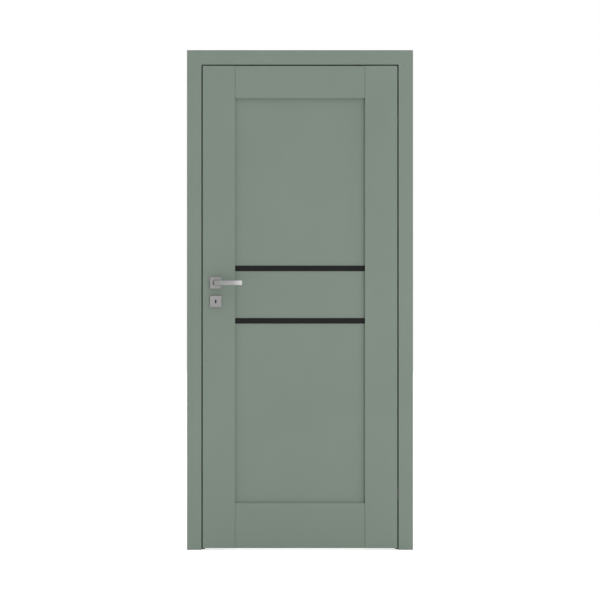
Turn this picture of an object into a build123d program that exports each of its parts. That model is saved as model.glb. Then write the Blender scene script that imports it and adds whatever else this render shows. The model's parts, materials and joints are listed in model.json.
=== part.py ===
"""Interior door that closes flush with its frame, on concealed hinges, with a lever set and a mortise lock.

X runs across the doorway towards the hinge side, Y through the wall from the front to the back, Z up.
The origin is on the floor, midway between the jambs, in the leaf's middle plane. Lengths are millimetres.
"""

import os
from build123d import *

os.makedirs("parts", exist_ok=True)

# Leaf and the gaps round it
leaf_width = 818
leaf_height = 2027
leaf_thickness = 40
side_gap = 5
head_gap = 5
floor_gap = 7

# Stiles, rails, panels and strips
stile_width = 136
top_rail_height = 136
bottom_rail_height = 190
rail_setback = 2
edge_round = 1.5
panel_thickness = 10
strip_height = 23
strip_proud = 2
upper_strip_height = 1183
strip_pitch = 220.5
tongue_depth = 8
groove_end_room = 0.3
slip = 0.1
dowel_radius = 6
dowel_length = 90
dowel_end_room = 1
dowel_shares = (0.3, 0.75)

# Jambs, stops, casings and seal
casing_width = 61
casing_thickness = 13
casing_lap = 5
casing_round = 1.5
jamb_thickness = 28
stop_step = 13
seal_space = 4
wall_thickness = 75
rear_casing_thickness = 12
adjustment_room = 4
casing_tongue_thickness = 6
casing_tongue_inset = 3
casing_groove_share = 0.6
casing_tongue_share = 0.85
seal_inset = 8.5
seal_width = 7
seal_wall = 0.9
seal_round = 2.4
seal_foot_width = 3
seal_foot_depth = 5
seal_air = 0.3
corner_dowel_radius = 4
corner_dowel_length = 24
corner_dowel_shares = (0.25, 0.75)

# Concealed hinges
hinge_end_distance = 230
hinge_height = 110
hinge_width = 26
hinge_depth = 14
hinge_wall = 1.2
hinge_pocket_depth = 11
hinge_pocket_height = 48
hinge_axis_ahead = 1
hinge_pivot_reach = 7
hinge_pivot_back = 14.5
arm_width = 6
arm_height = 44
arm_fork_gap = 28
arm_play = 0.2
pivot_radius = 1.5
pivot_play = 0.05
pivot_length = 60
hinge_screw_pitch = 88

# Mortise lock and strike
backset = 55
lever_height = 1122
lever_key_distance = 78
forend_height = 205
forend_width = 18
forend_thickness = 3
case_depth = 80
case_thickness = 15
case_margin = 43
case_wall = 1.2
latch_offset = 15
latch_height = 20
latch_width = 10
latch_head = 16
latch_length = 36
latch_tail_height = 11
deadbolt_height = 32
deadbolt_width = 10
deadbolt_head = 22
deadbolt_length = 42
deadbolt_tail_height = 22
bolt_tail_width = 7
bolt_play = 0.2
bolt_round = 1.5
follower_radius = 8.8
follower_flange_radius = 13
follower_flange_width = 9
follower_arm_reach = 21
follower_arm_height = 7
spring_strip = 0.8
spring_width = 6
spring_rise = 26
spring_reach = 10
spring_round = 3
strike_height = 205
strike_width = 22
strike_thickness = 2
strike_window_room = 1.5
dust_box_depth = 17
dust_box_wall = 1.5
dust_box_width = 18
magnet_thickness = 3
screw_head_radius = 4
screw_shank_radius = 2
screw_length = 22
screw_drive_radius = 1.6
screw_drive_depth = 1.4
plate_screw_inset = 11
sink_taper = 45

# Lever set
rose_size = 49
rose_thickness = 8
rose_wall = 1.2
rose_edge = 0.8
rose_bolt_pitch = 38
rose_bolt_radius = 2.5
rose_bolt_head_radius = 4
rose_bolt_head_depth = 2.5
rose_bolt_room = 0.6
neck_half_width = 11
neck_radius = 10
neck_play = 0.3
neck_hole_radius = 12
lever_projection = 60
lever_reach = 112
lever_bar_height = 20
lever_bar_thickness = 10
lever_bow = 9
lever_bend = 30
lever_inner_bend = 14
lever_edge = 0.8
spindle_width = 8
spindle_depth = 22
set_screw_radius = 2.5
set_screw_length = 6
set_screw_share = 0.3
keyhole_width = 6.5
keyhole_height = 15
keyhole_room = 2
key_screw_pitch = 34
key_screw_length = 14

# Worked out from the sizes above
front = -leaf_thickness / 2
back = leaf_thickness / 2
leaf_half = leaf_width / 2
leaf_bottom = floor_gap
leaf_top = floor_gap + leaf_height
leaf_middle = (leaf_bottom + leaf_top) / 2
half_opening = leaf_half + side_gap
head_face = leaf_top + head_gap
jamb_front = front + casing_lap
stop_face = back + seal_space
wall_front = front + casing_thickness
wall_rear = wall_front + wall_thickness
jamb_rear = wall_rear - adjustment_room
frame_rear = wall_rear + rear_casing_thickness
stop_depth = jamb_rear - stop_face
casing_groove_depth = stop_depth * casing_groove_share
casing_tongue_depth = casing_groove_depth * casing_tongue_share + adjustment_room
panel_half = leaf_half - stile_width
panel_width = 2 * panel_half
panel_bottom = leaf_bottom + bottom_rail_height
panel_top = leaf_top - top_rail_height
strip_heights = (upper_strip_height, upper_strip_height - strip_pitch)
groove_width = panel_thickness + 2 * slip
groove_depth = tongue_depth + groove_end_room
tongue_width = panel_width + 2 * tongue_depth
hinge_heights = (leaf_top - hinge_end_distance, leaf_bottom + hinge_end_distance)
gap_middle = leaf_half + side_gap / 2
hinge_middle = front + leaf_thickness / 2
pivot_line = front - hinge_axis_ahead + hinge_pivot_back
knee_line = pivot_line + hinge_pivot_back
spindle_x = backset - leaf_half
key_height = lever_height - lever_key_distance
lock_middle = (lever_height + key_height) / 2
case_height = lever_key_distance + 2 * case_margin
case_start = forend_thickness - leaf_half
case_middle = case_start + case_depth / 2
latch_level = lever_height + latch_offset
rose_base_thickness = rose_thickness - rose_wall
rose_base_size = rose_size - 2 * rose_wall - 2 * slip


def keep(piece, name):
    """Label a finished piece and write its STEP file."""
    piece.part.label = name
    export_step(piece.part, f"parts/{name}.step")


def into_edge(side, face, level):
    """Plane on a leaf edge or rebate face; its normal runs into the wood, its own Y axis is up."""
    return Plane(origin=(face, 0, level), x_dir=(0, side, 0), z_dir=(side, 0, 0))


def into_face(level, depth):
    """Plane parallel to the leaf's front, whose normal runs from the front to the back."""
    return Plane(origin=(spindle_x, depth, level), x_dir=(1, 0, 0), z_dir=(0, 1, 0))


def screws(planes, length, room=0):
    """Countersunk screws driven in along each plane's normal, or with room given, the holes for them."""
    with BuildPart() as piece:
        for plane in planes:
            with BuildSketch(plane):
                Circle(screw_head_radius + room)
            extrude(amount=screw_head_radius - screw_shank_radius, taper=sink_taper)
            with BuildSketch(plane):
                Circle(screw_shank_radius + room)
            extrude(amount=length + room)
            if not room:
                with BuildSketch(plane):
                    RegularPolygon(screw_drive_radius, 6)
                extrude(amount=screw_drive_depth, mode=Mode.SUBTRACT)
    return piece


# Frame sections are drawn outwards from the rebate face, across X, and through the wall, across Y.


def jamb_section():
    """Flat jamb board with a groove in its rear edge for the casing's tongue."""
    with Locations((0, jamb_front)):
        Rectangle(jamb_thickness, jamb_rear - jamb_front, align=Align.MIN)
    with Locations((casing_tongue_inset - slip, jamb_rear)):
        Rectangle(
            casing_tongue_thickness + 2 * slip,
            casing_groove_depth,
            align=(Align.MIN, Align.MAX),
            mode=Mode.SUBTRACT,
        )


def stop_section():
    """Stop planted on the jamb behind the leaf, with a groove in its face for the seal."""
    with Locations((0, stop_face)):
        Rectangle(stop_step, stop_depth, align=(Align.MAX, Align.MIN))
    with Locations((-seal_inset, stop_face)):
        Rectangle(
            seal_foot_width + 2 * slip,
            seal_foot_depth + groove_end_room,
            align=(Align.CENTER, Align.MIN),
            mode=Mode.SUBTRACT,
        )


def front_casing_section():
    """Flat casing that laps the jamb's front edge and bears on the wall."""
    section = Polygon(
        (0, front),
        (casing_width, front),
        (casing_width, wall_front),
        (jamb_thickness, wall_front),
        (jamb_thickness, jamb_front),
        (0, jamb_front),
        align=None,
    )
    fillet(section.vertices().group_by(Axis.Y)[0], casing_round)


def rear_casing_section():
    """Flat casing with a tongue that slides in the jamb's rear groove."""
    with Locations((0, wall_rear)):
        board = Rectangle(casing_width, rear_casing_thickness, align=Align.MIN)
    fillet(board.vertices().group_by(Axis.Y)[-1], casing_round)
    with Locations((casing_tongue_inset, wall_rear)):
        Rectangle(casing_tongue_thickness, casing_tongue_depth, align=(Align.MIN, Align.MAX))


def seal_section():
    """Hollow seal in front of the stop, with a foot in the stop's groove."""
    bulb_height = seal_space - seal_air
    with Locations((-seal_inset, stop_face)):
        bulb = Rectangle(seal_width, bulb_height, align=(Align.CENTER, Align.MAX))
        fillet(bulb.vertices().group_by(Axis.Y)[0], seal_round)
        Rectangle(seal_foot_width, seal_foot_depth, align=(Align.CENTER, Align.MIN))
    with Locations((-seal_inset, stop_face - bulb_height / 2)):
        Rectangle(seal_width - 2 * seal_wall, bulb_height - 2 * seal_wall, mode=Mode.SUBTRACT)


def upright(side, section, room=0):
    """One side of the frame, from the floor to its mitre under the head, with room for glue if given."""
    with BuildPart() as piece:
        plane = Plane(origin=(side * half_opening, 0, 0), x_dir=(side, 0, 0), z_dir=(0, 0, side))
        with BuildSketch(plane):
            section()
        extrude(amount=side * (head_face + casing_width))
        mitre = Plane(origin=(side * half_opening, 0, head_face - room), z_dir=(-side, 0, 1))
        split(bisect_by=mitre, keep=Keep.BOTTOM)
    return piece


def head(section):
    """The frame's head, mitred at both ends."""
    with BuildPart() as piece:
        with BuildSketch(Plane(origin=(0, 0, head_face), x_dir=(0, 0, 1), z_dir=(-1, 0, 0))):
            section()
        extrude(amount=half_opening + casing_width, both=True)
        for side in (-1, 1):
            mitre = Plane(origin=(side * half_opening, 0, head_face), z_dir=(side, 0, -1))
            split(bisect_by=mitre, keep=Keep.BOTTOM)
    return piece


def corner_dowels(room=0):
    """Two dowels across the mitre in each upper corner of the frame, or with room given, their holes."""
    solid_depth = jamb_rear - casing_groove_depth - jamb_front
    middle = jamb_thickness / 2
    with BuildPart() as piece:
        for side in (-1, 1):
            for share in corner_dowel_shares:
                across = Plane(
                    origin=(side * (half_opening + middle), jamb_front + share * solid_depth, head_face + middle),
                    x_dir=(side, 0, 1),
                    z_dir=(-side, 0, 1),
                )
                with BuildSketch(across):
                    Circle(corner_dowel_radius + room)
                extrude(amount=corner_dowel_length / 2 + room, both=True)
    return piece


def hinge_screw_planes(side, face):
    """Where each hinge body is screwed: above and below its pocket."""
    offsets = (-hinge_screw_pitch / 2, hinge_screw_pitch / 2)
    return [into_edge(side, face, level + offset) for level in hinge_heights for offset in offsets]


def hinge_slots(side, face, room=0):
    """The round-ended blocks that the hinge bodies fill, one at each hinge."""
    with BuildPart() as piece:
        for level in hinge_heights:
            with BuildSketch(into_edge(side, face, level)):
                with Locations((side * hinge_middle, 0)):
                    SlotOverall(hinge_height + 2 * room, hinge_width + 2 * room, rotation=90)
            extrude(amount=hinge_depth + room)
    return piece


def hinge_body(side, face, level):
    """Die-cast hinge body with a pocket for its arm and a bore for the pivot pin."""
    with BuildPart() as piece:
        plane = into_edge(side, face, level)
        with BuildSketch(plane):
            with Locations((side * hinge_middle, 0)):
                SlotOverall(hinge_height, hinge_width, rotation=90)
        extrude(amount=hinge_depth)
        with BuildSketch(plane):
            with Locations((side * hinge_middle, 0)):
                Rectangle(hinge_width - 2 * hinge_wall, hinge_pocket_height)
        extrude(amount=hinge_pocket_depth, mode=Mode.SUBTRACT)
        with BuildSketch(Plane.XY.offset(level)):
            with Locations((gap_middle + side * hinge_pivot_reach, pivot_line)):
                Circle(pivot_radius + slip / 2)
        extrude(amount=pivot_length / 2, both=True, mode=Mode.SUBTRACT)
        add(screws(hinge_screw_planes(side, face), screw_length, slip).part, mode=Mode.SUBTRACT)
    return piece


def hinge_pins(side):
    """Pivot pins that cross the hinge pockets, one at each hinge."""
    with BuildPart() as piece:
        for level in hinge_heights:
            with BuildSketch(Plane.XY.offset(level)):
                with Locations((gap_middle + side * hinge_pivot_reach, pivot_line)):
                    Circle(pivot_radius)
            extrude(amount=pivot_length / 2, both=True)
    return piece


def frame_arm(level):
    """Forked elbow arm that pivots in the jamb and carries the shared pin at its free end."""
    pivot = gap_middle + hinge_pivot_reach
    with BuildPart() as piece:
        with BuildSketch(Plane.XY.offset(level)):
            with Locations((pivot, (pivot_line + knee_line) / 2)):
                SlotCenterToCenter(hinge_pivot_back, arm_width, rotation=90)
            with Locations((gap_middle + hinge_pivot_reach / 2, knee_line)):
                SlotCenterToCenter(hinge_pivot_reach, arm_width)
            with Locations((pivot, pivot_line)):
                Circle(pivot_radius + pivot_play, mode=Mode.SUBTRACT)
        extrude(amount=arm_height / 2, both=True)
        with Locations((gap_middle, (pivot_line + knee_line) / 2, level)):
            Box(
                2 * (hinge_pivot_reach + arm_width),
                hinge_pivot_back + 2 * arm_width,
                arm_fork_gap,
                mode=Mode.SUBTRACT,
            )
        with BuildSketch(Plane.XY.offset(level)):
            with Locations((gap_middle, knee_line)):
                Circle(pivot_radius)
            with Locations((pivot, knee_line)):
                Circle(arm_width / 2)
        extrude(amount=arm_height / 2, both=True)
    return piece


def leaf_arm(level):
    """Elbow arm that pivots in the leaf; its free end turns on the shared pin inside the fork."""
    pivot = gap_middle - hinge_pivot_reach
    with BuildPart() as piece:
        with BuildSketch(Plane.XY.offset(level)):
            with Locations((pivot, (pivot_line + knee_line) / 2)):
                SlotCenterToCenter(hinge_pivot_back, arm_width, rotation=90)
        extrude(amount=arm_height / 2, both=True)
        with BuildSketch(Plane.XY.offset(level)):
            with Locations((gap_middle - hinge_pivot_reach / 2, knee_line)):
                SlotCenterToCenter(hinge_pivot_reach, arm_width)
        extrude(amount=arm_fork_gap / 2 - arm_play, both=True)
        with BuildSketch(Plane.XY.offset(level)):
            with Locations((pivot, pivot_line)):
                Circle(pivot_radius + pivot_play)
            with Locations((gap_middle, knee_line)):
                Circle(pivot_radius + arm_play)
        extrude(amount=arm_height, both=True, mode=Mode.SUBTRACT)
    return piece


def dowel_levels():
    """Heights of the dowels that tie the rails to the stiles."""
    bottom_rail = [leaf_bottom + bottom_rail_height * (1 - share) for share in dowel_shares]
    top_rail = [panel_top + top_rail_height * share for share in dowel_shares]
    return bottom_rail + top_rail


def stile(side):
    """Full-height stile, grooved along its inner edge and bored for the rail dowels."""
    with BuildPart() as piece:
        with Locations((side * (leaf_half - stile_width / 2), 0, leaf_middle)):
            Box(stile_width, leaf_thickness, leaf_height)
        fillet(piece.edges().filter_by(Axis.Z), edge_round)
        with Locations((side * panel_half, 0, leaf_middle)):
            Box(2 * groove_depth, groove_width, leaf_height, mode=Mode.SUBTRACT)
        with Locations([(side * panel_half, 0, level) for level in dowel_levels()]):
            Cylinder(
                dowel_radius + slip / 2,
                dowel_length + 2 * dowel_end_room,
                rotation=(0, 90, 0),
                mode=Mode.SUBTRACT,
            )
    return piece


def rail(bottom, height, panel_edge):
    """Rail between the stiles, tongued at its ends, grooved along its panel edge, bored for its dowels."""
    with BuildPart() as piece:
        with Locations((0, 0, bottom + height / 2)):
            Box(panel_width, leaf_thickness - 2 * rail_setback, height)
        faces = piece.faces().sort_by(Axis.Y)
        fillet(faces[0].edges() + faces[-1].edges(), edge_round)
        with Locations((0, 0, bottom + height / 2)):
            Box(tongue_width, panel_thickness, height)
        with Locations((0, 0, panel_edge)):
            Box(tongue_width, groove_width, 2 * groove_depth, mode=Mode.SUBTRACT)
        with Locations([(end * panel_half, 0, level) for end in (-1, 1) for level in dowel_levels()]):
            Cylinder(
                dowel_radius + slip / 2,
                dowel_length + 2 * dowel_end_room,
                rotation=(0, 90, 0),
                mode=Mode.SUBTRACT,
            )
    return piece


def panel(bottom, top):
    """Flat panel whose edges sit in the grooves all round it."""
    with BuildPart() as piece:
        with Locations((0, 0, (bottom + top) / 2)):
            Box(tongue_width, panel_thickness, top - bottom + 2 * tongue_depth)
    return piece


def strip(level):
    """Black strip between two panels, grooved above and below for their edges."""
    with BuildPart() as piece:
        with Locations((0, 0, level)):
            Box(panel_width, panel_thickness + 2 * strip_proud, strip_height)
            Box(tongue_width, panel_thickness, strip_height)
        with Locations((0, 0, level - strip_height / 2), (0, 0, level + strip_height / 2)):
            Box(tongue_width, groove_width, 2 * groove_depth, mode=Mode.SUBTRACT)
    return piece


def edge_plate(side, face, height, width, thickness):
    """Round-ended plate let into a leaf edge or a rebate face."""
    with BuildPart() as piece:
        with BuildSketch(into_edge(side, face, lock_middle)):
            SlotOverall(height, width, rotation=90)
        extrude(amount=thickness)
    return piece


def plate_screw_planes(side, face, height):
    """Where a lock plate is screwed: near its two ends."""
    offset = height / 2 - plate_screw_inset
    return [into_edge(side, face, lock_middle + end * offset) for end in (-1, 1)]


def keyhole(width, height, depth):
    """Round-ended slot through the leaf for the key."""
    with BuildPart() as piece:
        with BuildSketch(into_face(key_height, 0)):
            SlotOverall(height, width, rotation=90)
        extrude(amount=depth, both=True)
    return piece


def rose_bolts(room=0):
    """Two bolts that clamp the lever roses through the leaf, or with room given, the holes for them."""
    reach = leaf_thickness / 2 + rose_base_thickness - slip + room
    with BuildPart() as piece:
        for face in (-1, 1):
            with BuildSketch(into_face(lever_height, face * reach)):
                with GridLocations(0, rose_bolt_pitch, 1, 2):
                    Circle(rose_bolt_head_radius + room)
            extrude(amount=-face * (rose_bolt_head_depth + 2 * room))
        with BuildSketch(into_face(lever_height, 0)):
            with GridLocations(0, rose_bolt_pitch, 1, 2):
                Circle(rose_bolt_radius + room)
        extrude(amount=reach, both=True)
    return piece


def key_screw_planes():
    """Where the key roses are screwed to the leaf's faces."""
    reach = leaf_thickness / 2 + rose_base_thickness - slip
    planes = []
    for face in (-1, 1):
        for end in (-1, 1):
            origin = (spindle_x, face * reach, key_height + end * key_screw_pitch / 2)
            planes.append(Plane(origin=origin, x_dir=(1, 0, 0), z_dir=(0, -face, 0)))
    return planes


def rose_base(level):
    """Moulded base under a rose cover on the front face."""
    with BuildPart() as piece:
        with BuildSketch(into_face(level, front)):
            Rectangle(rose_base_size, rose_base_size)
        extrude(amount=-rose_base_thickness)
    return piece


def rose_cover(level):
    """Thin square cap that hides a rose base on the front face."""
    with BuildPart() as piece:
        with BuildSketch(into_face(level, front)):
            Rectangle(rose_size, rose_size)
        extrude(amount=-rose_thickness)
        chamfer(piece.faces().sort_by(Axis.Y)[0].edges(), rose_edge)
        with BuildSketch(into_face(level, front)):
            Rectangle(rose_base_size + 2 * slip, rose_base_size + 2 * slip)
        extrude(amount=-rose_base_thickness, mode=Mode.SUBTRACT)
    return piece


def turned_hole(radius, level, length):
    """Round cutter along Y through the whole leaf."""
    with BuildPart() as piece:
        with Locations((spindle_x, 0, level)):
            Cylinder(radius, length, rotation=(90, 0, 0))
    return piece


def rear_copy(piece):
    """The same piece for the leaf's other face."""
    with BuildPart() as copy:
        mirror(piece.part, about=Plane.XZ)
    return copy


# Frame

hinge_frame_holes = screws(hinge_screw_planes(1, half_opening), screw_length, slip)
strike_screw_planes = plate_screw_planes(-1, -half_opening, strike_height)
strike_face = -half_opening - strike_thickness
deadbolt_bottom = key_height - deadbolt_height / 2 - strike_window_room
latch_roof = latch_level + latch_height / 2 + strike_window_room
dust_box_height = latch_roof - deadbolt_bottom + 2 * dust_box_wall
dust_box_level = (latch_roof + deadbolt_bottom) / 2

with BuildPart() as jamb_hinge_side:
    add(upright(1, jamb_section).part)
    add(hinge_slots(1, half_opening, slip).part, mode=Mode.SUBTRACT)
    add(hinge_frame_holes.part, mode=Mode.SUBTRACT)
    add(corner_dowels(slip).part, mode=Mode.SUBTRACT)
keep(jamb_hinge_side, "jamb_hinge_side")

with BuildPart() as jamb_lock_side:
    add(upright(-1, jamb_section).part)
    add(
        edge_plate(-1, -half_opening, strike_height + 2 * slip, strike_width + 2 * slip, strike_thickness).part,
        mode=Mode.SUBTRACT,
    )
    with Locations((strike_face - dust_box_depth / 2, 0, dust_box_level)):
        Box(dust_box_depth, dust_box_width + 2 * slip, dust_box_height + 2 * slip, mode=Mode.SUBTRACT)
    add(screws(strike_screw_planes, screw_length, slip).part, mode=Mode.SUBTRACT)
    add(corner_dowels(slip).part, mode=Mode.SUBTRACT)
keep(jamb_lock_side, "jamb_lock_side")

with BuildPart() as jamb_head:
    add(head(jamb_section).part)
    add(corner_dowels(slip).part, mode=Mode.SUBTRACT)
keep(jamb_head, "jamb_head")

keep(corner_dowels(), "corner_dowels")
keep(upright(-1, front_casing_section), "front_casing_left")
keep(upright(1, front_casing_section), "front_casing_right")
keep(head(front_casing_section), "front_casing_head")
keep(upright(-1, rear_casing_section), "rear_casing_left")
keep(upright(1, rear_casing_section), "rear_casing_right")
keep(head(rear_casing_section), "rear_casing_head")

with BuildPart() as door_stops:
    add(upright(-1, stop_section, slip).part)
    add(upright(1, stop_section, slip).part)
    add(head(stop_section).part)
keep(door_stops, "door_stops")

with BuildPart() as stop_seal:
    add(upright(-1, seal_section).part)
    add(upright(1, seal_section).part)
    add(head(seal_section).part)
keep(stop_seal, "stop_seal")

with BuildPart() as strike_plate:
    add(edge_plate(-1, -half_opening, strike_height, strike_width, strike_thickness).part)
    for level, height in ((latch_level, latch_height), (key_height, deadbolt_height)):
        with Locations((-half_opening, 0, level)):
            Box(
                2 * strike_thickness,
                latch_width + 2 * strike_window_room,
                height + 2 * strike_window_room,
                mode=Mode.SUBTRACT,
            )
    add(screws(strike_screw_planes, screw_length, slip).part, mode=Mode.SUBTRACT)
keep(strike_plate, "strike_plate")
keep(screws(strike_screw_planes, screw_length), "strike_screws")

with BuildPart() as dust_box:
    with Locations((strike_face - dust_box_depth / 2, 0, dust_box_level)):
        Box(dust_box_depth, dust_box_width, dust_box_height)
    for level, height in ((latch_level, latch_height), (key_height, deadbolt_height)):
        with Locations((strike_face - (dust_box_depth - dust_box_wall) / 2, 0, level)):
            Box(
                dust_box_depth - dust_box_wall,
                latch_width + 2 * strike_window_room,
                height + 2 * strike_window_room,
                mode=Mode.SUBTRACT,
            )
keep(dust_box, "dust_box")

with BuildPart() as strike_magnet:
    magnet_place = strike_face - dust_box_depth + dust_box_wall + magnet_thickness / 2
    with Locations((magnet_place, 0, latch_level)):
        Box(magnet_thickness, latch_width, latch_height)
keep(strike_magnet, "strike_magnet")

# Leaf

hinge_leaf_holes = screws(hinge_screw_planes(-1, leaf_half), screw_length, slip)
forend_screw_planes = plate_screw_planes(1, -leaf_half, forend_height)

with BuildPart() as stile_hinge_side:
    add(stile(1).part)
    add(hinge_slots(-1, leaf_half, slip).part, mode=Mode.SUBTRACT)
    add(hinge_leaf_holes.part, mode=Mode.SUBTRACT)
keep(stile_hinge_side, "stile_hinge_side")

with BuildPart() as stile_lock_side:
    add(stile(-1).part)
    add(
        edge_plate(1, -leaf_half, forend_height + 2 * slip, forend_width + 2 * slip, forend_thickness).part,
        mode=Mode.SUBTRACT,
    )
    with Locations((case_middle, 0, lock_middle)):
        Box(case_depth + 2 * slip, case_thickness + 2 * slip, case_height + 2 * slip, mode=Mode.SUBTRACT)
    add(screws(forend_screw_planes, screw_length, slip).part, mode=Mode.SUBTRACT)
    add(turned_hole(neck_hole_radius, lever_height, leaf_thickness).part, mode=Mode.SUBTRACT)
    add(rose_bolts(rose_bolt_room).part, mode=Mode.SUBTRACT)
    add(
        keyhole(keyhole_width + keyhole_room, keyhole_height + keyhole_room, leaf_thickness).part,
        mode=Mode.SUBTRACT,
    )
    add(screws(key_screw_planes(), key_screw_length, slip).part, mode=Mode.SUBTRACT)
keep(stile_lock_side, "stile_lock_side")

keep(rail(panel_top, top_rail_height, panel_top), "rail_top")
keep(rail(leaf_bottom, bottom_rail_height, panel_bottom), "rail_bottom")

with BuildPart() as rail_dowels:
    with Locations([(end * panel_half, 0, level) for end in (-1, 1) for level in dowel_levels()]):
        Cylinder(dowel_radius, dowel_length, rotation=(0, 90, 0))
keep(rail_dowels, "rail_dowels")

strip_half = strip_height / 2
keep(panel(strip_heights[0] + strip_half, panel_top), "panel_upper")
keep(panel(strip_heights[1] + strip_half, strip_heights[0] - strip_half), "panel_middle")
keep(panel(panel_bottom, strip_heights[1] - strip_half), "panel_lower")
keep(strip(strip_heights[0]), "strip_upper")
keep(strip(strip_heights[1]), "strip_lower")

# Hinges

for place, level in zip(("upper", "lower"), hinge_heights):
    keep(hinge_body(1, half_opening, level), f"hinge_{place}_frame_body")
    keep(hinge_body(-1, leaf_half, level), f"hinge_{place}_leaf_body")
    keep(frame_arm(level), f"hinge_{place}_frame_arm")
    keep(leaf_arm(level), f"hinge_{place}_leaf_arm")
keep(hinge_pins(1), "hinge_frame_pins")
keep(hinge_pins(-1), "hinge_leaf_pins")
keep(screws(hinge_screw_planes(1, half_opening), screw_length), "hinge_frame_screws")
keep(screws(hinge_screw_planes(-1, leaf_half), screw_length), "hinge_leaf_screws")

# Lock

with BuildPart() as lock_forend:
    add(edge_plate(1, -leaf_half, forend_height, forend_width, forend_thickness).part)
    for level, height in ((latch_level, latch_height), (key_height, deadbolt_height)):
        with Locations((-leaf_half, 0, level)):
            Box(
                4 * forend_thickness,
                latch_width + 2 * bolt_play,
                height + 2 * bolt_play,
                mode=Mode.SUBTRACT,
            )
    add(screws(forend_screw_planes, screw_length, slip).part, mode=Mode.SUBTRACT)
keep(lock_forend, "lock_forend")
keep(screws(forend_screw_planes, screw_length), "forend_screws")

with BuildPart() as lock_openings:
    add(turned_hole(follower_radius + bolt_play, lever_height, leaf_thickness).part)
    add(rose_bolts(rose_bolt_room).part)
    add(keyhole(keyhole_width, keyhole_height, leaf_thickness).part)

with BuildPart() as lock_case:
    with Locations((case_middle, case_wall / 2, lock_middle)):
        Box(case_depth, case_thickness - case_wall, case_height)
    with Locations((case_middle, 0, lock_middle)):
        Box(
            case_depth - 2 * case_wall,
            case_thickness - 2 * case_wall,
            case_height - 2 * case_wall,
            mode=Mode.SUBTRACT,
        )
    for level, height in ((latch_level, latch_height), (key_height, deadbolt_height)):
        with Locations((case_start, 0, level)):
            Box(
                4 * case_wall,
                latch_width + 2 * bolt_play,
                height + 2 * bolt_play,
                mode=Mode.SUBTRACT,
            )
    add(lock_openings.part, mode=Mode.SUBTRACT)
keep(lock_case, "lock_case")

with BuildPart() as lock_cover:
    with Locations((case_middle, (case_wall - case_thickness) / 2, lock_middle)):
        Box(case_depth, case_wall, case_height)
    add(lock_openings.part, mode=Mode.SUBTRACT)
keep(lock_cover, "lock_cover")


def bolt(level, height, width, head_length, length, tail_height):
    """Sliding bolt, drawn back flush with the forend, with a slimmer tail inside the case."""
    with BuildPart() as piece:
        with Locations((-leaf_half, 0, level)):
            Box(head_length, width, height, align=(Align.MIN, Align.CENTER, Align.CENTER))
            fillet(piece.faces().sort_by(Axis.X)[0].edges().filter_by(Axis.Z), bolt_round)
            Box(length, bolt_tail_width, tail_height, align=(Align.MIN, Align.CENTER, Align.CENTER))
    return piece


keep(bolt(latch_level, latch_height, latch_width, latch_head, latch_length, latch_tail_height), "latch_bolt")
keep(
    bolt(key_height, deadbolt_height, deadbolt_width, deadbolt_head, deadbolt_length, deadbolt_tail_height),
    "deadbolt",
)

with BuildPart() as follower:
    with Locations((spindle_x, 0, lever_height)):
        Cylinder(follower_radius, case_thickness, rotation=(90, 0, 0))
        Cylinder(follower_flange_radius, follower_flange_width, rotation=(90, 0, 0))
        Box(
            follower_arm_reach,
            follower_flange_width,
            follower_arm_height,
            align=(Align.MIN, Align.CENTER, Align.CENTER),
        )
        Box(
            spindle_width + 2 * slip,
            leaf_thickness,
            spindle_width + 2 * slip,
            mode=Mode.SUBTRACT,
        )
keep(follower, "follower")

with BuildPart() as follower_spring:
    spring_top = lever_height - follower_arm_height / 2 - bolt_play
    spring_start = spindle_x + follower_arm_reach - spring_reach / 2
    with BuildSketch(Plane.XZ.offset(-spring_width / 2)):
        with BuildLine():
            FilletPolyline(
                (spring_start + spring_reach / 2, spring_top - spring_strip),
                (spring_start, spring_top - spring_strip),
                (spring_start + spring_reach / 2, spring_top - spring_rise / 2),
                (spring_start, spring_top - spring_rise),
                (spring_start + spring_reach, spring_top - spring_rise),
                radius=spring_round,
            )
        trace(line_width=spring_strip)
    extrude(amount=spring_width)
keep(follower_spring, "follower_spring")

# Lever set

lever_front_line = front - lever_projection
neck_start = front - rose_thickness - neck_play
neck_left = spindle_x - neck_half_width
neck_right = spindle_x + neck_half_width
bar_back_line = lever_front_line + lever_bar_thickness
lever_tip = spindle_x + lever_reach
set_screw_line = neck_start + (lever_front_line - neck_start) * set_screw_share
spindle_end = neck_start - spindle_depth

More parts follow.
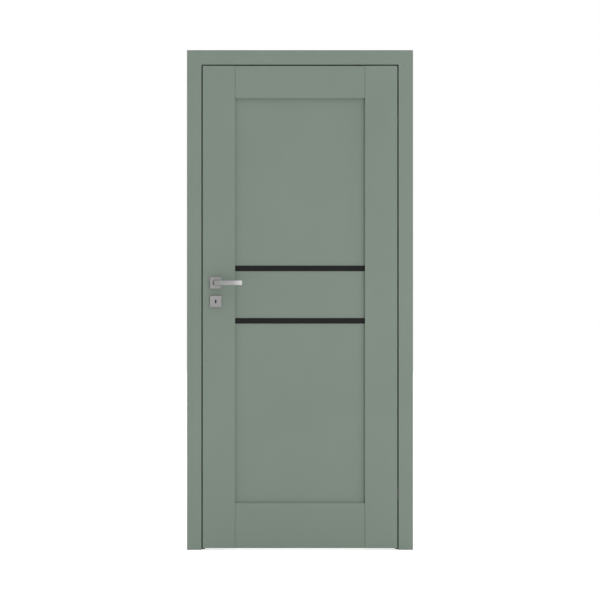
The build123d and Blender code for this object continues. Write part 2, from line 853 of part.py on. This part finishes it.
with BuildPart() as lever_front:
    with BuildSketch(Plane.XY.offset(lever_height)):
        with BuildLine():
            Line((neck_left, neck_start), (neck_left, lever_front_line + lever_bend))
            CenterArc((neck_left + lever_bend, lever_front_line + lever_bend), lever_bend, 180, 90)
            TangentArc(
                (neck_left + lever_bend, lever_front_line),
                (lever_tip, lever_front_line + lever_bow),
                tangent=(1, 0),
            )
            Line((lever_tip, lever_front_line + lever_bow), (lever_tip, bar_back_line + lever_bow))
            TangentArc(
                (neck_right + lever_inner_bend, bar_back_line),
                (lever_tip, bar_back_line + lever_bow),
                tangent=(1, 0),
            )
            CenterArc(
                (neck_right + lever_inner_bend, bar_back_line + lever_inner_bend), lever_inner_bend, 180, 90
            )
            Line((neck_right, bar_back_line + lever_inner_bend), (neck_right, neck_start))
            Line((neck_right, neck_start), (neck_left, neck_start))
        make_face()
    extrude(amount=lever_bar_height / 2, both=True)
    chamfer(lever_front.edges().filter_by(Axis.Z).group_by(Axis.X)[-1], lever_edge)
    rims = lever_front.edges().group_by(Axis.Z)
    chamfer(rims[0] + rims[-1], lever_edge)
    with BuildSketch(into_face(lever_height, neck_start)):
        Circle(neck_radius)
    extrude(amount=rose_thickness)
    with BuildSketch(into_face(lever_height, spindle_end - slip)):
        Rectangle(spindle_width + 2 * slip, spindle_width + 2 * slip)
    extrude(amount=spindle_depth + rose_thickness + neck_play, mode=Mode.SUBTRACT)
    with BuildSketch(Plane.XY.offset(lever_height - lever_bar_height)):
        with Locations((spindle_x, set_screw_line)):
            Circle(set_screw_radius + slip / 2)
    extrude(amount=lever_bar_height, mode=Mode.SUBTRACT)
keep(lever_front, "lever_front")
keep(rear_copy(lever_front), "lever_rear")

with BuildPart() as spindle:
    with Locations((spindle_x, 0, lever_height)):
        Box(spindle_width, -2 * spindle_end, spindle_width)
keep(spindle, "spindle")

with BuildPart() as set_screws:
    with BuildSketch(Plane.XY.offset(lever_height - spindle_width / 2 - slip)):
        with Locations((spindle_x, set_screw_line), (spindle_x, -set_screw_line)):
            Circle(set_screw_radius)
    extrude(amount=-set_screw_length + slip)
keep(set_screws, "set_screws")

with BuildPart() as rose_base_front:
    add(rose_base(lever_height).part)
    add(turned_hole(neck_radius + neck_play, lever_height, 4 * leaf_thickness).part, mode=Mode.SUBTRACT)
    add(rose_bolts(slip / 2).part, mode=Mode.SUBTRACT)
keep(rose_base_front, "rose_base_front")
keep(rear_copy(rose_base_front), "rose_base_rear")

with BuildPart() as rose_front:
    add(rose_cover(lever_height).part)
    add(turned_hole(neck_radius + neck_play, lever_height, 4 * leaf_thickness).part, mode=Mode.SUBTRACT)
keep(rose_front, "rose_front")
keep(rear_copy(rose_front), "rose_rear")
keep(rose_bolts(), "rose_bolts")

with BuildPart() as key_base_front:
    add(rose_base(key_height).part)
    add(
        keyhole(keyhole_width + keyhole_room, keyhole_height + keyhole_room, 2 * leaf_thickness).part,
        mode=Mode.SUBTRACT,
    )
    add(screws(key_screw_planes(), key_screw_length, slip).part, mode=Mode.SUBTRACT)
keep(key_base_front, "key_base_front")
keep(rear_copy(key_base_front), "key_base_rear")

with BuildPart() as key_rose_front:
    add(rose_cover(key_height).part)
    add(keyhole(keyhole_width, keyhole_height, 2 * leaf_thickness).part, mode=Mode.SUBTRACT)
keep(key_rose_front, "key_rose_front")
keep(rear_copy(key_rose_front), "key_rose_rear")
keep(screws(key_screw_planes(), key_screw_length), "key_rose_screws")
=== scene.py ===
"""Interior door with its frame: finishes, small fittings, studio light and camera. Lengths are metres."""

import json
import math

import bmesh
import bpy
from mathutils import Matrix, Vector


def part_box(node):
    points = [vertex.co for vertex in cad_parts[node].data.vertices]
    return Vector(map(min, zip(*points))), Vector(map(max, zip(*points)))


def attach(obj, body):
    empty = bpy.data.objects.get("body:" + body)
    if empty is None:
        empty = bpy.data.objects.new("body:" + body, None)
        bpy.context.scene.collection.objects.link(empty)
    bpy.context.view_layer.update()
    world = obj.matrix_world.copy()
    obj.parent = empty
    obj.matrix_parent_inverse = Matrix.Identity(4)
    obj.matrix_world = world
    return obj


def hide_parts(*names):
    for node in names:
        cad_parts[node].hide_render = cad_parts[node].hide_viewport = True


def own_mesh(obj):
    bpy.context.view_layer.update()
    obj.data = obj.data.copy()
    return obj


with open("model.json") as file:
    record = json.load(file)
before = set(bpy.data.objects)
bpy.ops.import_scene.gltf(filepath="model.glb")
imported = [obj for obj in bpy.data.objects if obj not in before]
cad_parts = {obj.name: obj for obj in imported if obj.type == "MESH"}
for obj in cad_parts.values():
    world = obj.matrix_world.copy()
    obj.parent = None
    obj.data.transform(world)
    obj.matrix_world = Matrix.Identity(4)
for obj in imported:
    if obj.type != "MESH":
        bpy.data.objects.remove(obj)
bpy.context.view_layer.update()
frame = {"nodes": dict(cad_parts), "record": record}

# Camera, straight ahead of the door; the picture is this wide at the casing's face
camera_distance = 12.0
picture_width = 2.5206
sensor_width = 36.0
farthest_sight = 100.0
face_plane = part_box("front_casing_head")[0][1]
middle_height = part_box("front_casing_head")[1][2] / 2

# Surface patterns; noise lies mostly between these levels, alone and with broad grain added
noise_low = 0.3
noise_high = 0.7
mixed_low = 0.5
mixed_high = 1.2
pattern_detail = 3.0
grain_roughness = 0.6
broad_share = 0.7
grain_to_broad = 6.0
surface_outputs = (
    ("Color", "NodeSocketColor"),
    ("Roughness", "NodeSocketFloat"),
    ("Height", "NodeSocketFloat"),
)

# Keyhole shutter, two dark lips behind each key rose; their dark plastic is painted shade that fills the
# keyhole
lip_half_width = 0.00415
lip_half_height = 0.0084
lip_lap = 0.0006
lip_corner_share = 1 / 6
lip_thickness = 0.001
lip_depths = (0.0165, 0.0151)
lip_arc_steps = 8
lip_sharp_angle = 0.8
lip_edge = 0.0002
lip_edge_steps = 2

# Lever spring, a folded strip
spring_half_strip = 0.0004
spring_fold = 0.005
spring_bend = 0.003
spring_bend_steps = 12

# Adjusting screws of the hinges; shares of a head's radius and rise, with None at the socket's wall
adjuster_radius = 0.0036
adjuster_socket = 0.002
adjuster_rise = 0.0005
adjuster_offset = 0.032
adjuster_sides = 36
adjuster_shares = ((1.0, 0.0), (1.0, 0.6), (0.88, 1.0), (None, 1.0), (None, 0.15))
hexagon_side = math.pi / 3

# Studio; each lobe of the dome has a direction, a narrowness and a strength
floor_reach = 30.0
floor_sides = 96
floor_paint = (0.9, 0.9, 0.9, 1.0)
floor_lift = 0.55
white = (1.0, 1.0, 1.0, 1.0)
white_strength = 1.0
dome_lobes = (
    ((0.0, 0.0, 1.0), 2.0, 1.78),
    ((0.0, -1.0, 0.0), 6.0, 0.3),
    ((0.0, 1.0, 0.0), 6.0, 0.8),
    ((0.66, -0.5, 0.56), 8.0, 0.96),
)
key_place = (3.6, -6.8, 1.3)
rear_place = (-3.6, 6.8, 1.3)
light_target = (0.0, 0.0, 1.05)
light_size = 2.4
light_watts = 92.0


# Node trees


def new_group(name, outputs):
    """Empty shader group with the named outputs, its object coordinates and its way out."""
    group = bpy.data.node_groups.new(name, "ShaderNodeTree")
    for label, kind in outputs:
        group.interface.new_socket(label, in_out="OUTPUT", socket_type=kind)
    place = group.nodes.new("ShaderNodeTexCoord")
    out = group.nodes.new("NodeGroupOutput")
    return group, place.outputs["Object"], out.inputs


def stretched(group, place, stretch):
    """Object coordinates stretched along the axes."""
    node = group.nodes.new("ShaderNodeMapping")
    node.inputs["Scale"].default_value = stretch
    group.links.new(place, node.inputs["Vector"])
    return node.outputs["Vector"]


def noise(group, place, scale, detail=2.0, rough=0.5):
    """Noise pattern from 0 to 1 at so many waves a metre."""
    node = group.nodes.new("ShaderNodeTexNoise")
    node.inputs["Scale"].default_value = scale
    node.inputs["Detail"].default_value = detail
    node.inputs["Roughness"].default_value = rough
    group.links.new(place, node.inputs["Vector"])
    return node.outputs["Fac"]


def spread(group, value, start, end, low, high):
    """A pattern's value carried over from the range start to end to the range low to high."""
    node = group.nodes.new("ShaderNodeMapRange")
    node.inputs["From Min"].default_value = start
    node.inputs["From Max"].default_value = end
    node.inputs["To Min"].default_value = low
    node.inputs["To Max"].default_value = high
    group.links.new(value, node.inputs["Value"])
    return node.outputs["Result"]


def shades(group, value, low, high):
    """Colour that goes from one to another over a noise pattern's usual range."""
    node = group.nodes.new("ShaderNodeValToRGB")
    first, last = node.color_ramp.elements
    first.position = noise_low
    first.color = (*low, 1.0)
    last.position = noise_high
    last.color = (*high, 1.0)
    group.links.new(value, node.inputs["Fac"])
    return node.outputs["Color"]


def weighed(group, one, other, share):
    """Two patterns added, the second at a share of its strength."""
    node = group.nodes.new("ShaderNodeMath")
    node.operation = "MULTIPLY_ADD"
    node.inputs[1].default_value = share
    group.links.new(other, node.inputs[0])
    group.links.new(one, node.inputs[2])
    return node.outputs["Value"]


def surface_group(name, colours, gloss, grain, patches, stretch=(1.0, 1.0, 1.0)):
    """Group whose colour drifts in patches and whose roughness and height follow a fine grain."""
    group, place, out = new_group(name, surface_outputs)
    along = stretched(group, place, stretch)
    drift = noise(group, place, patches, pattern_detail)
    fine = noise(group, along, grain, pattern_detail, grain_roughness)
    broad = noise(group, along, grain / grain_to_broad)
    mixed = weighed(group, fine, broad, broad_share)
    group.links.new(shades(group, drift, *colours), out["Color"])
    group.links.new(spread(group, mixed, mixed_low, mixed_high, *gloss), out["Roughness"])
    group.links.new(mixed, out["Height"])
    return group


def finish(name, group, bump_depth, bump_strength, metallic, specular):
    """Material whose colour, roughness and bump come from a surface group."""
    material = bpy.data.materials.new(name)
    material.use_nodes = True
    nodes, links = material.node_tree.nodes, material.node_tree.links
    shader = nodes["Principled BSDF"]
    surface = nodes.new("ShaderNodeGroup")
    surface.node_tree = group
    bump = nodes.new("ShaderNodeBump")
    bump.inputs["Strength"].default_value = bump_strength
    bump.inputs["Distance"].default_value = bump_depth
    shader.inputs["Metallic"].default_value = metallic
    shader.inputs["Specular IOR Level"].default_value = specular
    links.new(surface.outputs["Color"], shader.inputs["Base Color"])
    links.new(surface.outputs["Roughness"], shader.inputs["Roughness"])
    links.new(surface.outputs["Height"], bump.inputs["Height"])
    links.new(bump.outputs["Normal"], shader.inputs["Normal"])
    return material


# Finishes, by the record's slots

lacquer = surface_group(
    "lacquer_stipple",
    colours=((0.205, 0.252, 0.213), (0.217, 0.265, 0.225)),
    gloss=(0.36, 0.46),
    grain=900.0,
    patches=2.5,
)
strip_skin = surface_group(
    "strip_skin",
    colours=((0.0088, 0.0088, 0.0088), (0.0112, 0.0112, 0.0112)),
    gloss=(0.4, 0.5),
    grain=1600.0,
    patches=6.0,
)
brushing = surface_group(
    "brushed_nickel",
    colours=((0.252, 0.251, 0.248), (0.278, 0.277, 0.274)),
    gloss=(0.24, 0.34),
    grain=1500.0,
    patches=30.0,
    stretch=(0.03, 1.0, 1.0),
)
plating = surface_group(
    "zinc_plating",
    colours=((0.3, 0.3, 0.297), (0.36, 0.36, 0.355)),
    gloss=(0.24, 0.36),
    grain=1400.0,
    patches=60.0,
)
screw_plating = surface_group(
    "screw_plating",
    colours=((0.28, 0.28, 0.274), (0.35, 0.345, 0.335)),
    gloss=(0.3, 0.42),
    grain=2200.0,
    patches=90.0,
)
casting = surface_group(
    "die_casting",
    colours=((0.25, 0.25, 0.253), (0.31, 0.31, 0.314)),
    gloss=(0.38, 0.52),
    grain=1800.0,
    patches=50.0,
)
moulding = surface_group(
    "moulded_grain",
    colours=((0.016, 0.016, 0.017), (0.024, 0.024, 0.025)),
    gloss=(0.5, 0.62),
    grain=2400.0,
    patches=40.0,
)
seal_skin = surface_group(
    "seal_skin",
    colours=((0.026, 0.028, 0.026), (0.036, 0.038, 0.036)),
    gloss=(0.7, 0.82),
    grain=1200.0,
    patches=30.0,
)
magnet_skin = surface_group(
    "magnet_plating",
    colours=((0.2, 0.2, 0.204), (0.26, 0.26, 0.265)),
    gloss=(0.3, 0.4),
    grain=1500.0,
    patches=80.0,
)
beech = surface_group(
    "beech_fibre",
    colours=((0.47, 0.31, 0.17), (0.62, 0.44, 0.26)),
    gloss=(0.55, 0.7),
    grain=1100.0,
    patches=60.0,
    stretch=(0.06, 1.0, 1.0),
)

# Slot, surface, bump depth, bump strength, metallic share, specular level
finish_table = (
    ("sage_lacquer", lacquer, 0.0002, 0.12, 0.0, 0.22),
    ("black_strip", strip_skin, 0.0001, 0.15, 0.0, 0.12),
    ("bare_wood", beech, 0.0002, 0.4, 0.0, 0.3),
    ("satin_nickel", brushing, 0.00005, 0.25, 1.0, 0.5),
    ("plain_steel", plating, 0.00005, 0.25, 1.0, 0.5),
    ("screw_steel", screw_plating, 0.00005, 0.3, 1.0, 0.5),
    ("hinge_zinc", casting, 0.0001, 0.4, 1.0, 0.5),
    ("moulded_plastic", moulding, 0.0001, 0.4, 0.0, 0.4),
    ("seal_rubber", seal_skin, 0.0001, 0.4, 0.0, 0.3),
    ("magnet_steel", magnet_skin, 0.00005, 0.3, 1.0, 0.5),
)
finishes = {slot: finish(slot, *values) for slot, *values in finish_table}

for part in frame["record"]["subparts"]:
    node = frame["nodes"][part["node"]]
    node.data.materials.clear()
    node.data.materials.append(finishes[part["material_slot"]])


# Small fittings


def new_piece(name, shape, body, slot):
    """Object from a finished shape, riding on a body, with a slot's finish."""
    mesh = bpy.data.meshes.new(name)
    bmesh.ops.recalc_face_normals(shape, faces=shape.faces)
    shape.to_mesh(mesh)
    shape.free()
    mesh.materials.append(finishes[slot])
    piece = bpy.data.objects.new(name, mesh)
    bpy.context.scene.collection.objects.link(piece)
    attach(piece, body)
    return piece


def lip_outline():
    """Half of the shutter's slot shape, across and up, with the lap past its middle."""
    turns = [math.pi / 2 * step / lip_arc_steps for step in range(lip_arc_steps + 1)]
    radius = lip_half_width
    straight = lip_half_height - radius
    edge = [(radius * math.sin(turn), -straight - radius * math.cos(turn)) for turn in turns]
    edge += [(radius * math.cos(turn), straight + radius * math.sin(turn)) for turn in turns]
    inset = lip_lap * lip_corner_share
    return [(-lip_lap, edge[0][1] + inset), *edge, (-lip_lap, edge[-1][1] - inset)]


def keyhole_shade_shutter():
    """Two soft lips that lap in the key's way behind each key rose; their dark plastic is painted shade, a
    dark sheet put where the keyhole holds only shade.
    """
    low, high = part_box("key_rose_front")
    hole_x, hole_z = (low[0] + high[0]) / 2, (low[2] + high[2]) / 2
    outline = lip_outline()
    shape = bmesh.new()
    for face in (-1.0, 1.0):
        for side, depth in zip((-1.0, 1.0), lip_depths):
            points = [shape.verts.new((hole_x + side * x, face * depth, hole_z + z)) for x, z in outline]
            grown = bmesh.ops.extrude_face_region(shape, geom=[shape.faces.new(points)])["geom"]
            moved = [item for item in grown if isinstance(item, bmesh.types.BMVert)]
            bmesh.ops.translate(shape, verts=moved, vec=(0.0, -face * lip_thickness, 0.0))
    sharp = [
        line for line in shape.edges
        if len(line.link_faces) == 2 and line.calc_face_angle() > lip_sharp_angle
    ]
    bmesh.ops.bevel(shape, geom=sharp, offset=lip_edge, segments=lip_edge_steps, affect="EDGES")
    # Dark plastic lips as painted shade inside each keyhole
    new_piece("keyhole_shade_shutter", shape, "leaf", "moulded_plastic")


def rounded_path(corners, radius, steps):
    """Points along a line through the corners, with each inner corner turned on an arc."""
    points = [corners[0]]
    for before, corner, after in zip(corners, corners[1:], corners[2:]):
        back, ahead = (before - corner).normalized(), (after - corner).normalized()
        half_angle = back.angle(ahead) / 2
        middle = corner + (back + ahead).normalized() * radius / math.sin(half_angle)
        start = (corner + back * radius / math.tan(half_angle) - middle).normalized()
        end = (corner + ahead * radius / math.tan(half_angle) - middle).normalized()
        points += [middle + start.slerp(end, step / steps) * radius for step in range(steps + 1)]
    return points + [corners[-1]]


def lever_spring():
    """Folded strip of spring steel under the follower's arm."""
    low, high = (Vector(corner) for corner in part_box("follower_spring"))
    left = high.x - 2 * spring_fold
    top = high.z - spring_half_strip
    bottom = low.z + spring_half_strip
    corners = [
        Vector((left + spring_fold, 0.0, top)),
        Vector((left, 0.0, top)),
        Vector((left + spring_fold, 0.0, (top + bottom) / 2)),
        Vector((left, 0.0, bottom)),
        Vector((high.x, 0.0, bottom)),
    ]
    line = rounded_path(corners, spring_bend, spring_bend_steps)
    sides = ((-1, low.y), (-1, high.y), (1, high.y), (1, low.y))
    shape = bmesh.new()
    rings = []
    for index, point in enumerate(line):
        along = line[min(index + 1, len(line) - 1)] - line[max(index - 1, 0)]
        across = along.normalized().cross(Vector((0.0, 1.0, 0.0))) * spring_half_strip
        rings.append([shape.verts.new(Vector((point.x, y, point.z)) + side * across) for side, y in sides])
    for ring, after in zip(rings, rings[1:]):
        for edge in range(len(sides)):
            shape.faces.new((ring[edge], ring[edge - 1], after[edge - 1], after[edge]))
    shape.faces.new(rings[0])
    shape.faces.new(rings[-1])
    spring = new_piece("lever_spring", shape, "leaf", "plain_steel")
    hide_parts("follower_spring")
    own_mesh(spring)


def hexagon_reach(turn):
    """Distance from the middle of the socket to its wall at a turn."""
    half_side = hexagon_side / 2
    return adjuster_socket * math.cos(half_side) / math.cos(turn % hexagon_side - half_side)


def socket_screw(shape, centre, outward):
    """Low round screw head with a hexagon socket, added to a shape on a face that looks along X."""
    rings = []
    for radius_share, rise_share in adjuster_shares:
        ring = []
        for step in range(adjuster_sides):
            turn = math.tau * step / adjuster_sides
            reach = adjuster_radius * radius_share if radius_share else hexagon_reach(turn)
            ring.append(shape.verts.new((
                centre[0] + outward * adjuster_rise * rise_share,
                centre[1] + reach * math.cos(turn),
                centre[2] + reach * math.sin(turn),
            )))
        rings.append(ring)
    for inner, outer in zip(rings[1:], rings):
        for step in range(adjuster_sides):
            after = (step + 1) % adjuster_sides
            shape.faces.new((outer[step], outer[after], inner[after], inner[step]))
    shape.faces.new(rings[-1])


def hinge_adjusters(name, nodes, body, outward):
    """Adjusting screws above and below the pocket of each hinge body on one side."""
    shape = bmesh.new()
    for node in nodes:
        low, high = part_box(node)
        face = high[0] if outward > 0 else low[0]
        middle_y, middle_z = (low[1] + high[1]) / 2, (low[2] + high[2]) / 2
        for offset in (-adjuster_offset, adjuster_offset):
            socket_screw(shape, (face, middle_y, middle_z + offset), outward)
    new_piece(name, shape, body, "screw_steel")


keyhole_shade_shutter()
lever_spring()
frame_hinges = ("hinge_upper_frame_body", "hinge_lower_frame_body")
leaf_hinges = ("hinge_upper_leaf_body", "hinge_lower_leaf_body")
hinge_adjusters("hinge_adjusters_frame", frame_hinges, "frame", -1.0)
hinge_adjusters("hinge_adjusters_leaf", leaf_hinges, "leaf", 1.0)


# Studio light, floor and camera


def combined(tree, operation, one, other):
    """One step of arithmetic on a value and another value or a plain number."""
    node = tree.nodes.new("ShaderNodeMath")
    node.operation = operation
    tree.links.new(one, node.inputs[0])
    if isinstance(other, float):
        node.inputs[1].default_value = other
    else:
        tree.links.new(other, node.inputs[1])
    return node.outputs["Value"]


def mirrored_ray(tree):
    """1 for a ray from the camera, or one that metal or glass sends on."""
    ray = tree.nodes.new("ShaderNodeLightPath").outputs
    seen = combined(tree, "MAXIMUM", ray["Is Camera Ray"], ray["Is Glossy Ray"])
    return combined(tree, "MAXIMUM", seen, ray["Is Transmission Ray"])


def lay_floor():
    """Wide pale floor; it shows white to the camera and keeps the door's shadow."""
    mesh = bpy.data.meshes.new("studio_floor")
    shape = bmesh.new()
    bmesh.ops.create_circle(shape, cap_ends=True, segments=floor_sides, radius=floor_reach)
    shape.to_mesh(mesh)
    shape.free()
    floor = bpy.data.objects.new("studio_floor", mesh)
    bpy.context.scene.collection.objects.link(floor)
    material = bpy.data.materials.new("studio_floor")
    material.use_nodes = True
    tree = material.node_tree
    tree.nodes.remove(tree.nodes["Principled BSDF"])
    paint = tree.nodes.new("ShaderNodeBsdfDiffuse")
    paint.inputs["Color"].default_value = floor_paint
    glow = tree.nodes.new("ShaderNodeEmission")
    glow.inputs["Color"].default_value = white
    both = tree.nodes.new("ShaderNodeAddShader")
    lift = combined(tree, "MULTIPLY", mirrored_ray(tree), floor_lift)
    tree.links.new(lift, glow.inputs["Strength"])
    tree.links.new(paint.outputs["BSDF"], both.inputs[0])
    tree.links.new(glow.outputs["Emission"], both.inputs[1])
    tree.links.new(both.outputs["Shader"], tree.nodes["Material Output"].inputs["Surface"])
    mesh.materials.append(material)


def light_lobe(tree, place, towards, narrowness, strength):
    """Light that falls off on all sides of one direction."""
    along = tree.nodes.new("ShaderNodeVectorMath")
    along.operation = "DOT_PRODUCT"
    along.inputs[1].default_value = Vector(towards).normalized()
    tree.links.new(place, along.inputs[0])
    facing = combined(tree, "MAXIMUM", along.outputs["Value"], 0.0)
    narrowed = combined(tree, "POWER", facing, narrowness)
    return combined(tree, "MULTIPLY", narrowed, strength)


def light_room():
    """Dome of light made of broad lobes, in front of a white background."""
    world = bpy.data.worlds.new("studio")
    world.use_nodes = True
    tree = world.node_tree
    tree.nodes.clear()
    place = tree.nodes.new("ShaderNodeTexCoord").outputs["Generated"]
    total, *others = [light_lobe(tree, place, *lobe) for lobe in dome_lobes]
    for lobe in others:
        total = combined(tree, "ADD", total, lobe)
    dome = tree.nodes.new("ShaderNodeBackground")
    dome.inputs["Color"].default_value = white
    tree.links.new(total, dome.inputs["Strength"])
    backdrop = tree.nodes.new("ShaderNodeBackground")
    backdrop.inputs["Color"].default_value = white
    backdrop.inputs["Strength"].default_value = white_strength
    choice = tree.nodes.new("ShaderNodeMixShader")
    tree.links.new(mirrored_ray(tree), choice.inputs["Fac"])
    tree.links.new(dome.outputs["Background"], choice.inputs[1])
    tree.links.new(backdrop.outputs["Background"], choice.inputs[2])
    out = tree.nodes.new("ShaderNodeOutputWorld")
    tree.links.new(choice.outputs["Shader"], out.inputs["Surface"])
    bpy.context.scene.world = world


def soft_light(name, place):
    """Square soft light aimed at the door."""
    lamp = bpy.data.lights.new(name, "AREA")
    lamp.shape = "SQUARE"
    lamp.size = light_size
    lamp.energy = light_watts
    rig = bpy.data.objects.new(name, lamp)
    rig.location = place
    rig.rotation_euler = (Vector(light_target) - Vector(place)).to_track_quat("-Z", "Y").to_euler()
    bpy.context.scene.collection.objects.link(rig)


def set_camera():
    """Camera straight ahead of the door at half its height."""
    data = bpy.data.cameras.new("camera")
    data.sensor_width = sensor_width
    data.lens = sensor_width * camera_distance / picture_width
    data.clip_end = farthest_sight
    camera = bpy.data.objects.new("camera", data)
    camera.location = (0.0, face_plane - camera_distance, middle_height)
    camera.rotation_euler = (math.pi / 2, 0.0, 0.0)
    bpy.context.scene.collection.objects.link(camera)
    bpy.context.scene.camera = camera


lay_floor()
light_room()
soft_light("key_light", key_place)
soft_light("rear_light", rear_place)
set_camera()
bpy.context.scene.view_settings.view_transform = "Standard"
